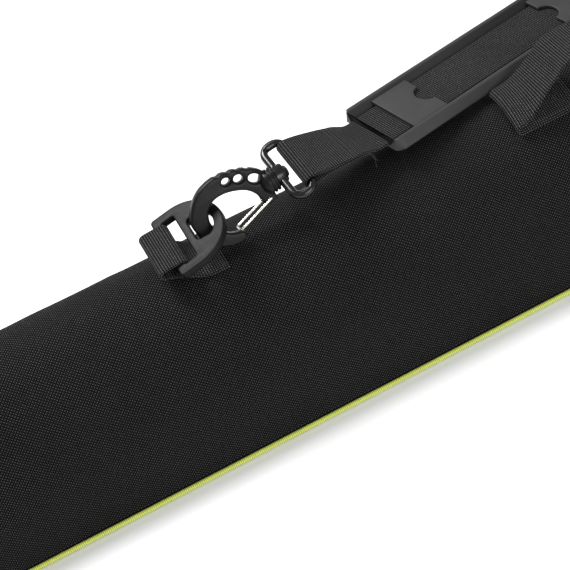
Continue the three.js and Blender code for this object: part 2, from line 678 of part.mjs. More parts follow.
// The webbing's width direction: with each bar at the ends, level along the pad.
function strapAcross(curve) {
  const length = curve.getLength();
  const fold = UNDER_PLY + 0.6 * Math.PI * WRAP; // from a cut end to the middle of its fold
  const padEnd = fold + 350;
  const rightStart = length - fold - 110;
  return (u) => {
    const place = u * length;
    if (place < padEnd) return acrossAt(LEFT_END, Math.abs(place - fold));
    if (place > rightStart) return acrossAt(RIGHT_END, Math.abs(length - place - fold));
    return PAD_ACROSS.clone().lerp(RIGHT_END.across, THREE.MathUtils.smoothstep(place, padEnd, rightStart));
  };
}

function shoulderWebbing() {
  const curve = strapCurve();
  return ribbon(curve, strapAcross(curve), WEBBING_WIDTH, WEBBING, 130);
}

function padSection() {
  const shape = new THREE.Shape();
  const half = PAD_HALF_WIDTH;
  shape.moveTo(-half + 2, -4);
  shape.lineTo(half - 2, -4);
  shape.lineTo(half, -1.5);
  shape.lineTo(half - 4.5, 6.5);
  shape.lineTo(half - 7.5, 6.5);
  shape.lineTo(22, -1.4);
  shape.lineTo(-22, -1.4);
  shape.lineTo(-half + 7.5, 6.5);
  shape.lineTo(-half + 4.5, 6.5);
  shape.lineTo(-half, -1.5);
  return shape;
}

function shoulderPad() {
  const channel = placed(
    new THREE.ExtrudeGeometry(padSection(), { depth: PAD_LENGTH, bevelEnabled: false }),
    at(0, 0, 0), Y, Z, X,
  );
  const bridgeAt = (from) => box(from, from + PAD_BRIDGE, -23.3, 23.3, 1.4, 3.8);
  const firstEnd = PAD_BRIDGE_START + PAD_BRIDGE;
  const secondStart = PAD_LENGTH - firstEnd;
  const notch = (s) => rod(at(s, 0, 1), at(s, 0, 8), 9.5, 20);
  const first = cut(bridgeAt(PAD_BRIDGE_START), notch(firstEnd));
  const second = cut(bridgeAt(secondStart), notch(secondStart));
  const corner = (s, side) => box(-9, 9, -9, 9, -20, 20).rotateZ(Math.PI / 4).translate(s, side * 37, 0);
  const corners = [corner(-2, -1), corner(-2, 1), corner(PAD_LENGTH + 2, -1), corner(PAD_LENGTH + 2, 1)];
  const pad = cut(join(channel, first, second), ...corners);
  return placed(pad, padOrigin(), STRAP_DIRECTION, PAD_ACROSS, PAD_NORMAL);
}

function buildStrap() {
  add("shoulder_webbing", shoulderWebbing(), webbing);
  add("shoulder_pad", shoulderPad(), rubber);
}

// ---------- the whole case ----------
buildBase();
buildLid();
buildInside();
buildSliders();
add("handle_webbing", handleWebbing(), webbing);
add("handle_grip", handleGrip(), rubber);
const leftAnchor = new THREE.Group();
const rightAnchor = new THREE.Group();
rightAnchor.scale.x = -1;
buildAnchor("left", leftAnchor);
buildAnchor("right", rightAnchor);
model.add(leftAnchor, rightAnchor);
buildStrap();

export default model;
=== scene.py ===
import json
import math

import bmesh
import bpy
import numpy as np
from mathutils import Matrix, Vector, noise

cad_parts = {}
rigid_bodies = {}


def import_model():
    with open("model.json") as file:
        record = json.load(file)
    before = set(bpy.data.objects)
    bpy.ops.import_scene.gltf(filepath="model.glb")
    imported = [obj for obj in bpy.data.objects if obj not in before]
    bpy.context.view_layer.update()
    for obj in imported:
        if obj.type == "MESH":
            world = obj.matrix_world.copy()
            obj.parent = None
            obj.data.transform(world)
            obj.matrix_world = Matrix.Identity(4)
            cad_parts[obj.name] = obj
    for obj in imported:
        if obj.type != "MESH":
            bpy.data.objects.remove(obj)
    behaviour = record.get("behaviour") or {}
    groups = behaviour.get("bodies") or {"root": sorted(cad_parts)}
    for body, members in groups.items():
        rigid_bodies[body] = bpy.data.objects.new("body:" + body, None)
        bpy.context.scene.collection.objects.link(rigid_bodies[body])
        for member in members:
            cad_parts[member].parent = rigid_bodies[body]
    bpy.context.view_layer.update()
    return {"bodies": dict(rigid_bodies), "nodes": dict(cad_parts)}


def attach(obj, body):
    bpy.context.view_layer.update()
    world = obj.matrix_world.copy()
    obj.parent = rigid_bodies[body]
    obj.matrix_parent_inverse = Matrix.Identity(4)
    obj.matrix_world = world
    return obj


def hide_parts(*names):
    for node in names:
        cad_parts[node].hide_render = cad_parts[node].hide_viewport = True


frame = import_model()
NODES = frame["nodes"]

# ---------- dimensions, the same as the part's ----------
MM = 0.001
CASE_LENGTH = 1500
HALF_WIDTH = 80
DOME_HEIGHT = 137.5
SECTION_BASE = 3
END_RADIUS = 45
WALL = 8
TOP = SECTION_BASE + DOME_HEIGHT
GAP = 0.3
WEBBING_WIDTH = 40
WEBBING = 1.8
TOP_LINE = -6
HINGE_END = CASE_LENGTH / 2 - 55
HINGE_HEIGHT = 5.5
RIM = 22
ANCHOR_END = 376
ANCHOR_FOLD = 422
RING_BAR = 409.5
RING_BAR_HEIGHT = TOP + 17
RING_TILT = math.radians(16)
RING_ROLL = math.radians(12)
RING_THICKNESS = 7
RING_EYE = 29
HOOK_RISE = math.radians(8)
HOOK_LEAN = math.radians(20)
HOOK_THICKNESS = 8
HOOK_SEAT = 3
EYE_TURN = math.radians(52)
EYE_NEAR = 66.6
EYE_FAR = 89.6
EYE_HALF_LENGTH = 28.5
EYE_BAR = 6.4
BARREL_START = 57
BARREL_END = 66
BOSS_END = 74.6
STUD_RADIUS = 3
WEAVE = (0.00145, 0.00135)  # metres from thread to thread, along and round the case
GATE_PIVOT = (57.3, -9.5)
GATE_TIP = (24.4, -17.6)
GATE_WIRE = 0.9
BARREL_RADIUS = 9.6
BARREL_GROOVE = 8.5
GRIP_HALF_WIDTH = 24.6
GRIP_HALF_HEIGHT = 8.1
PAD_FLOOR = -4
PAD_LIP = 6.5
PAD_START = 68
PAD_LENGTH = 260
PAD_HALF_WIDTH = 32.5
PAD_BRIDGE = 36
PAD_BRIDGE_START = 24
HANDLE_END = 131
HANDLE_LINE = -14
HANDLE_RISE = 36
GRIP_HALF_LENGTH = 58
UNDER_PLY = 52
PLY_SPACING = 2.6
SEWN_ROWS = (5, 9)  # from the cut end of the under ply
STITCH_REACH = 18  # from a strap's middle line to the ends of its sewn rows
TWIST_FROM = 12
TWIST_TO = 72


# ---------- vectors ----------
def vec(x, y, z):
    return np.array([x, y, z], float)


def unit(v):
    return v / np.linalg.norm(v)


def square_to(v, axis):
    return unit(v - axis * (v @ axis) / (axis @ axis))


def smoothstep(x, low, high):
    t = min(1.0, max(0.0, (x - low) / (high - low)))
    return t * t * (3 - 2 * t)


def mirror(v):
    return vec(-v[0], v[1], v[2])


X, Y, Z = vec(1, 0, 0), vec(0, 1, 0), vec(0, 0, 1)
RING_ACROSS = vec(0, math.cos(RING_ROLL), math.sin(RING_ROLL))
RING_UP = vec(0, -math.sin(RING_ROLL), math.cos(RING_ROLL))
PULL = X * math.cos(RING_TILT) + RING_UP * math.sin(RING_TILT)
RING_NORMAL = np.cross(PULL, RING_ACROSS)
RING_ORIGIN = vec(-RING_BAR, TOP_LINE, RING_BAR_HEIGHT)
LEAN = vec(0, math.sin(HOOK_LEAN), math.cos(HOOK_LEAN))
HOOK_AXIS = X * math.cos(HOOK_RISE) + LEAN * math.sin(HOOK_RISE)
HOOK_SPINE = -X * math.sin(HOOK_RISE) + LEAN * math.cos(HOOK_RISE)
HOOK_NORMAL = np.cross(HOOK_AXIS, HOOK_SPINE)
HOOK_ORIGIN = RING_ORIGIN + PULL * RING_EYE - HOOK_AXIS * HOOK_SEAT
BAR_DIRECTION = HOOK_SPINE * math.cos(EYE_TURN) - HOOK_NORMAL * math.sin(EYE_TURN)
FAR_BAR = HOOK_ORIGIN + HOOK_AXIS * (EYE_FAR - EYE_BAR / 2)


# ---------- meshes ----------
def make_mesh(name, points, faces, material, uv=None, sharp=60):
    mesh = bpy.data.meshes.new(name)
    mesh.from_pydata([tuple(float(c) * MM for c in p) for p in points], [], faces)
    if uv is not None:
        layer = mesh.uv_layers.new(name="lay")
        corner_verts = np.zeros(len(mesh.loops), int)
        mesh.loops.foreach_get("vertex_index", corner_verts)
        layer.data.foreach_set("uv", (np.array(uv, float)[corner_verts] * MM).ravel())
    mesh.materials.append(material)
    piece = bpy.data.objects.new(name, mesh)
    bpy.context.scene.collection.objects.link(piece)
    tidy(piece, sharp)
    return piece


def tidy(piece, sharp):
    edit = bmesh.new()
    edit.from_mesh(piece.data)
    bmesh.ops.recalc_face_normals(edit, faces=edit.faces)
    edit.to_mesh(piece.data)
    edit.free()
    piece.data.shade_smooth()
    piece.data.set_sharp_from_angle(angle=math.radians(sharp))


def weld(piece, distance):
    """Joins corners that meet, drops faces that have no width and turns the rest outward."""
    edit = bmesh.new()
    edit.from_mesh(piece.data)
    bmesh.ops.remove_doubles(edit, verts=edit.verts, dist=distance)
    bmesh.ops.dissolve_degenerate(edit, dist=1e-6, edges=edit.edges)
    bmesh.ops.recalc_face_normals(edit, faces=edit.faces)
    edit.to_mesh(piece.data)
    edit.free()


def join_pieces(name, pieces):
    """Several meshes made one object, keeping the first one's place in the frame."""
    for piece in pieces:
        piece.select_set(True)
    bpy.context.view_layer.objects.active = pieces[0]
    with bpy.context.temp_override(active_object=pieces[0], selected_editable_objects=pieces):
        bpy.ops.object.join()
    pieces[0].name = name
    pieces[0].data.name = name
    pieces[0].select_set(False)
    return pieces[0]


def grid_faces(rows, columns, closed=False):
    """Quads of a grid of rows by columns; closed joins the last column to the first."""
    faces = []
    last = columns if closed else columns - 1
    for i in range(rows - 1):
        for j in range(last):
            k = (j + 1) % columns
            faces.append((i * columns + j, (i + 1) * columns + j, (i + 1) * columns + k, i * columns + k))
    return faces


def catmull(points, spacing):
    """Points at even spacing along a smooth curve through the given ones (centripetal)."""
    p = [2 * points[0] - points[1], *points, 2 * points[-1] - points[-2]]
    out = []
    for i in range(1, len(p) - 2):
        steps = max(2, int(4 * np.linalg.norm(p[i + 1] - p[i])))
        gaps = [max(1e-6, np.linalg.norm(p[i + k] - p[i + k - 1]) ** 0.5) for k in range(3)]
        before, here, after = (p[i + k] - p[i + k - 1] for k in range(3))
        a = before / gaps[0] - (before + here) / (gaps[0] + gaps[1]) + here / gaps[1]
        b = here / gaps[1] - (here + after) / (gaps[1] + gaps[2]) + after / gaps[2]
        a, b = a * gaps[1], b * gaps[1]
        for k in range(steps):
            t = k / steps
            out.append(
                (2 * t**3 - 3 * t**2 + 1) * p[i]
                + (t**3 - 2 * t**2 + t) * a
                + (3 * t**2 - 2 * t**3) * p[i + 1]
                + (t**3 - t**2) * b
            )
    out.append(p[-2])
    return resample(np.array(out), spacing)


def resample(line, spacing):
    lengths = np.concatenate([[0], np.cumsum(np.linalg.norm(np.diff(line, axis=0), axis=1))])
    count = max(2, int(round(lengths[-1] / spacing)) + 1)
    places = np.linspace(0, lengths[-1], count)
    return np.stack([np.interp(places, lengths, line[:, k]) for k in range(3)], 1)


def arc(centre, first, crossing_highlight, radius, start, end, count):
    angles = np.radians(np.linspace(start, end, count + 1))
    return [centre + radius * (math.cos(a) * first + math.sin(a) * crossing_highlight) for a in angles]


def strap_section(width, thickness):
    """(across, up) points round a strap's section, with round selvedges."""
    r = thickness / 2
    side = width / 2 - r
    across = np.linspace(-side, side, 21)
    top = [(a, r) for a in across]
    right = [(side + r * math.cos(t), r * math.sin(t)) for t in np.radians([45, 0, -45])]
    bottom = [(a, -r) for a in across[::-1]]
    left = [(-side - r * math.cos(t), -r * math.sin(t)) for t in np.radians([45, 0, -45])]
    return top + right + bottom + left


def frames_along(line, across_at):
    """Tangent, width direction and normal at each point of a line."""
    tangents = np.gradient(line, axis=0)
    result = []
    for i, tangent in enumerate(tangents):
        t = unit(tangent)
        across = square_to(across_at(i / (len(line) - 1)), t)
        result.append((t, across, np.cross(t, across)))
    return result


def strap(name, line, across_at, material, width=WEBBING_WIDTH, thickness=WEBBING, drop=None, seams=()):
    """A flat strap along a line. drop(point, share) bends its section over what is below.

    seams are places along it, in millimetres, where stitching pulls the cloth in.
    """
    section = strap_section(width, thickness)
    points, uv = [], []
    spacing = np.linalg.norm(line[1] - line[0])
    for i, (_, across, normal) in enumerate(frames_along(line, across_at)):
        pull = sum(math.exp(-(((i * spacing - place) / 1.3) ** 2)) for place in seams)
        for a, up in section:
            up *= 1 - 0.6 * min(1.0, pull)
            wander = 0.25 * noise.noise(Vector((i * spacing * 0.03, a * 0.05, len(name))))
            point = line[i] + across * a + normal * (up + wander * 0.5)
            if drop:
                point = point - Z * drop(point, i / (len(line) - 1))
            points.append(point)
            uv.append((i * spacing, a))
    count = len(section)
    faces = grid_faces(len(line), count, closed=True)
    faces.append(tuple(range(count)))
    faces.append(tuple(len(points) - count + k for k in range(count)))
    return make_mesh(name, points, faces, material, uv)


def lathe(name, profile, material, to_world, sides=48):
    """A body turned about the local x axis from (x, radius) points."""
    points, uv = [], []
    for k in range(sides):
        turn = 2 * math.pi * k / sides
        for x, r in profile:
            points.append(to_world(x, r * math.cos(turn), r * math.sin(turn)))
            uv.append((x, r * turn))
    rows = len(profile)
    faces = []
    for k in range(sides):
        n = (k + 1) % sides
        for i in range(rows - 1):
            faces.append((k * rows + i, k * rows + i + 1, n * rows + i + 1, n * rows + i))
    piece = make_mesh(name, points, faces, material, uv, sharp=40)
    weld(piece, 1e-6)
    return piece


def plate(name, outline, holes, thickness, edge, material, to_world, rounds=4):
    """A plate with rounded edges from a dense outline in its own plane."""
    curve = bpy.data.curves.new(name, "CURVE")
    curve.dimensions = "2D"
    curve.fill_mode = "BOTH"
    for loop in [outline, *holes]:
        spline = curve.splines.new("POLY")
        spline.points.add(len(loop) - 1)
        for point, (x, y) in zip(spline.points, loop):
            point.co = (x, y, 0, 1)
        spline.use_cyclic_u = True
    curve.extrude = thickness / 2 - edge
    curve.bevel_depth = edge
    curve.bevel_resolution = rounds
    curve.offset = -edge
    holder = bpy.data.objects.new(name, curve)
    bpy.context.scene.collection.objects.link(holder)
    bpy.context.view_layer.update()
    shape = bpy.data.meshes.new_from_object(holder.evaluated_get(bpy.context.evaluated_depsgraph_get()))
    points = [to_world(*v.co) for v in shape.vertices]
    faces = [tuple(p.vertices) for p in shape.polygons]
    bpy.data.objects.remove(holder)
    bpy.data.curves.remove(curve)
    bpy.data.meshes.remove(shape)
    piece = make_mesh(name, points, faces, material, sharp=35)
    weld(piece, 1e-6)
    return piece


def wire(name, line, radius, material, sides=12, closed=False):
    """A round wire along a line."""
    tangents = np.gradient(line, axis=0)
    normal = square_to(vec(0.31, 0.17, 0.93), unit(tangents[0]))
    points, uv = [], []
    length = 0.0
    for i, tangent in enumerate(tangents):
        t = unit(tangent)
        normal = square_to(normal, t)
        other = np.cross(t, normal)
        if i:
            length += np.linalg.norm(line[i] - line[i - 1])
        for k in range(sides):
            turn = 2 * math.pi * k / sides
            points.append(line[i] + radius * (math.cos(turn) * normal + math.sin(turn) * other))
            uv.append((length, radius * turn))
    faces = grid_faces(len(line), sides, closed=True)
    if closed:
        first, last = 0, (len(line) - 1) * sides
        for k in range(sides):
            n = (k + 1) % sides
            faces.append((last + k, first + k, first + n, last + n))
    else:
        faces.append(tuple(range(sides)))
        faces.append(tuple(len(points) - sides + k for k in range(sides)))
    return make_mesh(name, points, faces, material, uv)


def spline2(points, count):
    """A dense open curve through (x, y) points."""
    line = catmull([vec(x, y, 0) for x, y in points], 0.8)
    return [(p[0], p[1]) for p in line[:: max(1, len(line) // count)]]


def arc2(cx, cy, rx, ry, start, end, count):
    angles = np.radians(np.linspace(start, end, count + 1))
    return [(cx + rx * math.cos(a), cy + ry * math.sin(a)) for a in angles]


def rounded_rectangle(half_x, half_y, radius, centre_x=0.0, count=8):
    corners = [(1, -1, -90), (1, 1, 0), (-1, 1, 90), (-1, -1, 180)]
    loop = []
    for sx, sy, start in corners:
        cx = centre_x + sx * (half_x - radius)
        cy = sy * (half_y - radius)
        loop += arc2(cx, cy, radius, radius, start, start + 90, count)
    return loop


def stand_in(piece, node):
    """The piece takes the place of a CAD node and rides on that node's body."""
    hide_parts(node)
    body = next(name for name, empty in frame["bodies"].items() if NODES[node].parent == empty)
    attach(piece, body)


# ---------- materials ----------
class Shader:
    """A material's node tree, with short calls for the nodes used here."""

    def __init__(self, name):
        self.material = bpy.data.materials.new(name)
        self.material.use_nodes = True
        self.tree = self.material.node_tree
        self.body = self.tree.nodes["Principled BSDF"]

    def node(self, kind, **settings):
        made = self.tree.nodes.new(kind)
        for key, value in settings.items():
            setattr(made, key, value)
        return made

    def put(self, socket, value):
        if isinstance(value, bpy.types.NodeSocket):
            self.tree.links.new(value, socket)
        else:
            socket.default_value = value

    def math(self, operation, a, b=0.0, c=0.0):
        made = self.node("ShaderNodeMath", operation=operation)
        self.put(made.inputs[0], a)
        self.put(made.inputs[1], b)
        self.put(made.inputs[2], c)
        return made.outputs[0]

    def lay(self):
        """Lengths along and across a piece, in metres, from its own layout."""
        split = self.node("ShaderNodeSeparateXYZ")
        made = self.node("ShaderNodeUVMap")
        made.uv_map = "lay"
        self.put(split.inputs[0], made.outputs[0])
        return split.outputs[0], split.outputs[1]

    def place(self):
        split = self.node("ShaderNodeSeparateXYZ")
        made = self.node("ShaderNodeTexCoord")
        self.put(split.inputs[0], made.outputs["Object"])
        return split.outputs

    def noise(self, scale, detail=3.0, rough=0.55):
        made = self.node("ShaderNodeTexNoise")
        made.inputs["Scale"].default_value = scale
        made.inputs["Detail"].default_value = detail
        made.inputs["Roughness"].default_value = rough
        coordinate = self.node("ShaderNodeTexCoord")
        self.put(made.inputs["Vector"], coordinate.outputs["Object"])
        return made.outputs["Fac"]

    def ramp(self, value, low, high):
        """value from 0..1 to low..high, kept inside."""
        made = self.node("ShaderNodeMapRange")
        self.put(made.inputs["Value"], value)
        made.inputs["To Min"].default_value = low
        made.inputs["To Max"].default_value = high
        return made.outputs["Result"]

    def blend(self, share, first, crossing_highlight):
        made = self.node("ShaderNodeMix", data_type="FLOAT")
        self.put(made.inputs["Factor"], share)
        self.put(made.inputs["A"], first)
        self.put(made.inputs["B"], crossing_highlight)
        return made.outputs["Result"]

    def colours(self, share, dark, light):
        made = self.node("ShaderNodeMix", data_type="RGBA")
        self.put(made.inputs["Factor"], share)
        made.inputs["A"].default_value = (*dark, 1)
        made.inputs["B"].default_value = (*light, 1)
        return made.outputs["Result"]

    def bump(self, height, depth, after=None):
        made = self.node("ShaderNodeBump")
        made.inputs["Strength"].default_value = 1.0
        made.inputs["Distance"].default_value = depth
        self.put(made.inputs["Height"], height)
        if after is not None:
            self.put(made.inputs["Normal"], after)
        return made.outputs["Normal"]

    def finish(self, colour, rough, normal=None, **more):
        self.put(self.body.inputs["Base Color"], colour)
        self.put(self.body.inputs["Roughness"], rough)
        if normal is not None:
            self.put(self.body.inputs["Normal"], normal)
        for key, value in more.items():
            self.put(self.body.inputs[key.replace("_", " ")], value)
        return self.material

    def weave(self, along, across, pitch_along, pitch_across):
        """Height (0 to 1) of a plain weave, and a number for each thread crossing."""
        a = self.math("DIVIDE", along, pitch_along)
        b = self.math("DIVIDE", across, pitch_across)
        cell_a, cell_b = self.math("FLOOR", a), self.math("FLOOR", b)
        parity = self.math("FLOORED_MODULO", self.math("ADD", cell_a, cell_b), 2.0)

        def from_middle(value):
            part = self.math("SUBTRACT", self.math("FRACT", value), 0.5)
            doubled = self.math("MULTIPLY", part, 2.0)
            return self.math("MULTIPLY", doubled, doubled)

        square_a, square_b = from_middle(a), from_middle(b)

        def crown(run, side):
            round_part = self.math("SQRT", self.math("SUBTRACT", 1.0, side))
            dip = self.math("MULTIPLY_ADD", run, -0.6, 1.0)
            return self.math("MULTIPLY", round_part, dip)

        height = self.blend(parity, crown(square_a, square_b), crown(square_b, square_a))
        crossing = self.node("ShaderNodeCombineXYZ")
        self.put(crossing.inputs[0], cell_a)
        self.put(crossing.inputs[1], cell_b)
        chance = self.node("ShaderNodeTexWhiteNoise", noise_dimensions="2D")
        self.put(chance.inputs["Vector"], crossing.outputs[0])
        return height, parity, chance.outputs["Value"]


def woven(
    name, along, across, dark, light, depth, rough=0.7, layout=None, shine=0.1, crossing_highlight=0.45, sheen=0.0
):
    """A woven cloth: pitch along and across in metres, the colour painted into its gaps as shade, and the
    colour of its crowns.

    The crowns of the crossing threads are painted darker than those of the first threads by a share: a
    painted highlight difference, because warp and weft shine differently.
    """
    s = Shader(name)
    if layout is None:
        u, v = s.lay()
    else:
        u, v = layout(s)
    wander = s.ramp(s.noise(60.0, 2.0), -0.0003, 0.0003)
    height, parity, chance = s.weave(s.math("ADD", u, wander), s.math("ADD", v, wander), along, across)
    # Painted highlight: the crowns of one thread system are painted lighter than the other's; the chance
    # per crossing is random tone of the threads.
    shade = s.math("MULTIPLY", s.blend(parity, 1.0, crossing_highlight), s.ramp(chance, 0.75, 1.05))
    # Painted shade: colour follows the thread height, so the gaps and the flanks of each thread are painted
    # dark and the crowns light.
    share = s.math("MULTIPLY", s.math("POWER", height, 4.0), shade)
    worn = s.ramp(s.noise(14.0, 4.0, 0.6), 0.78, 1.12)
    colour = s.colours(s.math("MULTIPLY", share, worn), dark, light)
    fuzz = s.noise(2600.0, 2.0)
    normal = s.bump(height, depth, s.bump(fuzz, 0.0001))
    roughness = s.ramp(s.noise(40.0, 3.0), rough - 0.06, rough + 0.1)
    gloss = {"Sheen_Weight": sheen, "Sheen_Roughness": 0.5, "Specular_IOR_Level": shine}
    return s.finish(colour, roughness, normal, **gloss)


def flat_layout(first, crossing_highlight):
    """A layout for a piece with no lengths of its own: two of its place's axes."""

    def layout(s):
        place = s.place()
        return place[first], place[crossing_highlight]

    return layout


def plastic(name, colour, rough, grain, gloss=0.5):
    """Moulded plastic: fine spark-eroded grain, soft handling marks and uneven gloss."""
    s = Shader(name)
    speckle = s.noise(3800.0, 2.0)
    marks = s.noise(210.0, 6.0, 0.7)
    light = tuple(min(1.0, c * 1.5) for c in colour)
    normal = s.bump(marks, 0.00004, s.bump(speckle, grain))
    shade = s.colours(s.ramp(s.noise(60.0, 4.0), 0.1, 0.8), colour, light)
    return s.finish(shade, s.ramp(marks, rough - 0.08, rough + 0.14), normal, Specular_IOR_Level=gloss)


def metal(name, colour, rough):
    s = Shader(name)
    marks = s.noise(700.0, 5.0, 0.7)
    normal = s.bump(marks, 0.000005)
    return s.finish((*colour, 1), s.ramp(marks, rough, rough + 0.15), normal, Metallic=1.0)


def foam_material(name, dark, light):
    s = Shader(name)
    cells = s.node("ShaderNodeTexVoronoi", feature="F1")
    cells.inputs["Scale"].default_value = 900.0
    coordinate = s.node("ShaderNodeTexCoord")
    s.put(cells.inputs["Vector"], coordinate.outputs["Object"])
    height = cells.outputs["Distance"]
    # Painted shade: the colour follows the height of the cells, so the pits of the cells are painted dark.
    colour = s.colours(s.math("MULTIPLY", height, 1.4), dark, light)
    return s.finish(colour, 0.9, s.bump(height, 0.0006), Specular_IOR_Level=0.2)


def ribbed(name, pitch, dark, light, depth, layout, rough=0.5):
    """Fine ribs along a piece: welded piping, or the coil of a zip."""
    s = Shader(name)
    along, _ = layout(s)
    part = s.math("SUBTRACT", s.math("FRACT", s.math("DIVIDE", along, pitch)), 0.5)
    crown = s.math("SQRT", s.math("SUBTRACT", 1.0, s.math("MULTIPLY", s.math("MULTIPLY", part, part), 3.6)))
    stain = s.ramp(s.noise(160.0, 4.0), 0.75, 1.0)
    # Painted shade: the grooves between the ribs are painted dark and the rib crowns light; the stain noise
    # is random tone.
    colour = s.colours(s.math("MULTIPLY", s.math("POWER", crown, 1.5), stain), dark, light)
    return s.finish(colour, rough, s.bump(crown, depth), Specular_IOR_Level=0.4)


# The dark colour of each cloth is painted shade in the gaps of its weave; the light one is the colour of
# its crowns.
CLOTH_GAP_SHADE, CLOTH_LIGHT = (0.0003, 0.0003, 0.0003), (0.095, 0.092, 0.093)
WEB_GAP_SHADE, WEB_LIGHT = (0.0002, 0.0002, 0.0002), (0.13, 0.13, 0.13)
LINING_GAP_SHADE, LINING_LIGHT = (0.02, 0.021, 0.024), (0.075, 0.078, 0.085)
COVER = woven("cover_fabric", *WEAVE, CLOTH_GAP_SHADE, CLOTH_LIGHT, 0.0004, 0.75, None, 0.03, 0.2)
COVER_FLAT = woven("cover_flat", *WEAVE, CLOTH_GAP_SHADE, CLOTH_LIGHT, 0.0004, 0.75, flat_layout(0, 1), 0.04)
STRAP = woven("strap_webbing", 0.0019, 0.0013, WEB_GAP_SHADE, WEB_LIGHT, 0.0009, 0.6, None, 0.05, 0.75)
NARROW = woven(
    "narrow_webbing", 0.0014, 0.001, WEB_GAP_SHADE, WEB_LIGHT, 0.0005, 0.6, flat_layout(1, 0), 0.06, 0.7
)
TAPE = woven("zip_tape", 0.0007, 0.0007, CLOTH_GAP_SHADE, CLOTH_LIGHT, 0.0002, 0.7, flat_layout(0, 2))
LINING = woven(
    "lining", 0.0006, 0.0006, LINING_GAP_SHADE, LINING_LIGHT, 0.0002, 0.85, flat_layout(0, 2), sheen=0.3
)
GRIP = woven("grip_cloth", 0.0006, 0.0006, CLOTH_GAP_SHADE, CLOTH_LIGHT, 0.0002, 0.75, sheen=0.1)
PLASTIC = plastic("hook_plastic", (0.004, 0.004, 0.0043), 0.34, 0.00003, 0.18)
RING_PLASTIC = plastic("ring_plastic", (0.004, 0.004, 0.0042), 0.45, 0.00003, 0.13)
GLOSS = plastic("gloss_plastic", (0.004, 0.004, 0.0043), 0.16, 0.00002, 0.4)
RUBBER = plastic("pad_rubber", (0.024, 0.024, 0.0245), 0.5, 0.00006, 0.35)
NICKEL = metal("nickel", (0.66, 0.63, 0.58), 0.16)
BLACK_METAL = metal("black_enamel", (0.03, 0.03, 0.032), 0.3)
FOAM = foam_material("cradle_foam", (0.012, 0.012, 0.014), (0.06, 0.06, 0.066))
THREAD = plastic("thread", (0.02, 0.02, 0.02), 0.6, 0.0001, 0.2)


def rib_layout(s):
    return s.lay()


def ring_road_layout(s):
    """Along the long sides by x, and across the ends by y."""
    place = s.place()
    return s.math("ADD", place[0], place[1]), place[2]


# The first colour of the piping and of the coil is painted shade in the grooves between the ribs.
PIPING = ribbed("lime_piping", 0.0015, (0.17, 0.2, 0.02), (0.75, 0.83, 0.16), 0.0004, rib_layout)
COIL = ribbed("zip_coil", 0.0016, (0.001, 0.001, 0.001), (0.03, 0.03, 0.03), 0.0008, ring_road_layout, 0.35)


# ---------- the lid ----------
def dome_z(y):
    """Height of the dome's top line at y, on the straight part."""
    return SECTION_BASE + DOME_HEIGHT * math.sqrt(max(0.0, 1 - (y / HALF_WIDTH) ** 2))


def lid_stations(grow):
    """(x, inset, share, run) along the case: the straight part, the rounded ends, the flat caps.

    run is the length along the cloth, or None on the caps, which are cloth of their own.
    """
    radius = END_RADIUS + grow
    straight = CASE_LENGTH / 2 - END_RADIUS
    turn = []
    for t in np.radians(range(9, 91, 9)):
        inset = radius * (1 - math.cos(t))
        turn.append((straight + radius * math.sin(t), inset, 1.0, straight + radius * t))
    cap = [(straight + radius, radius, share, None) for share in (1.0, 0.75, 0.5, 0.25, 0.0)]
    middle = [(x, 0.0, 1.0, x) for x in np.linspace(-HINGE_END + 0.5, HINGE_END - 0.5, 140)]
    edge = [(HINGE_END + 0.5, 0.0, 1.0, HINGE_END + 0.5), (straight, 0.0, 1.0, straight)]
    right = edge + turn + cap
    left = [(-x, inset, share, None if run is None else -run) for x, inset, share, run in right][::-1]
    return left + middle + right


def lid_skin(grow, soft):
    """Points and layout of one face of the lid, as rows of stations."""
    columns = 89
    points, uv = [], []
    rows = lid_stations(grow)
    for x, inset, share, run in rows:
        a, h = HALF_WIDTH + grow - inset, DOME_HEIGHT + grow - inset
        near = HINGE_HEIGHT if abs(x) < HINGE_END else RIM
        start = math.asin((near - SECTION_BASE) / h)
        end = math.pi - math.asin((RIM - SECTION_BASE) / h)
        length = 0.0
        before = None
        section = []
        for j in range(columns):
            angle = start + (end - start) * j / (columns - 1)
            y, z = -a * math.cos(angle), SECTION_BASE + h * math.sin(angle)
            normal = unit(vec(0, y / a**2, (z - SECTION_BASE) / h**2))
            if before is not None:
                length += math.hypot(y - before[0], z - before[1])
            before = (y, z)
            give = 0.0
            if soft:
                spot = Vector((x * 0.018, y * 0.03, z * 0.03))
                give = -0.5 - 0.5 * noise.fractal(spot, 0.6, 2.0, 3)
                give *= smoothstep(z, near, near + 12)
            height = RIM + (z - RIM) * share if share < 1 else z
            section.append((vec(x, y * share, height) + normal * give, length))
        middle = section[-1][1] / 2
        for point, place in section:
            points.append(point)
            uv.append((point[1], point[2]) if run is None else (run, place - middle))
    return points, uv, len(rows), columns


def build_lid():
    outer, outer_uv, rows, columns = lid_skin(0, True)
    inner, inner_uv, _, _ = lid_skin(-WALL, False)
    faces = grid_faces(rows, columns)
    shift = len(outer)
    faces += [tuple(shift + k for k in reversed(face)) for face in grid_faces(rows, columns)]
    for i in range(rows - 1):
        for j in (0, columns - 1):
            a, b = i * columns + j, (i + 1) * columns + j
            faces.append((a, b, shift + b, shift + a))
    lid = make_mesh("lid_cover", outer + inner, faces, COVER, outer_uv + inner_uv, sharp=50)
    weld(lid, 2e-5)
    stand_in(lid, "lid_shell")


# ---------- the base ----------
def build_piping():
    loop = rounded_rectangle(CASE_LENGTH / 2 + 2.2, HALF_WIDTH + 2.2, END_RADIUS + 2.2, count=40)
    line = np.array([vec(x, y, 2.4) for x, y in loop + loop[:1]])
    line = resample(line, 4)[:-1]
    piping = wire("piping", line, 1.9, PIPING, sides=14, closed=True)
    stand_in(piping, "base_piping")


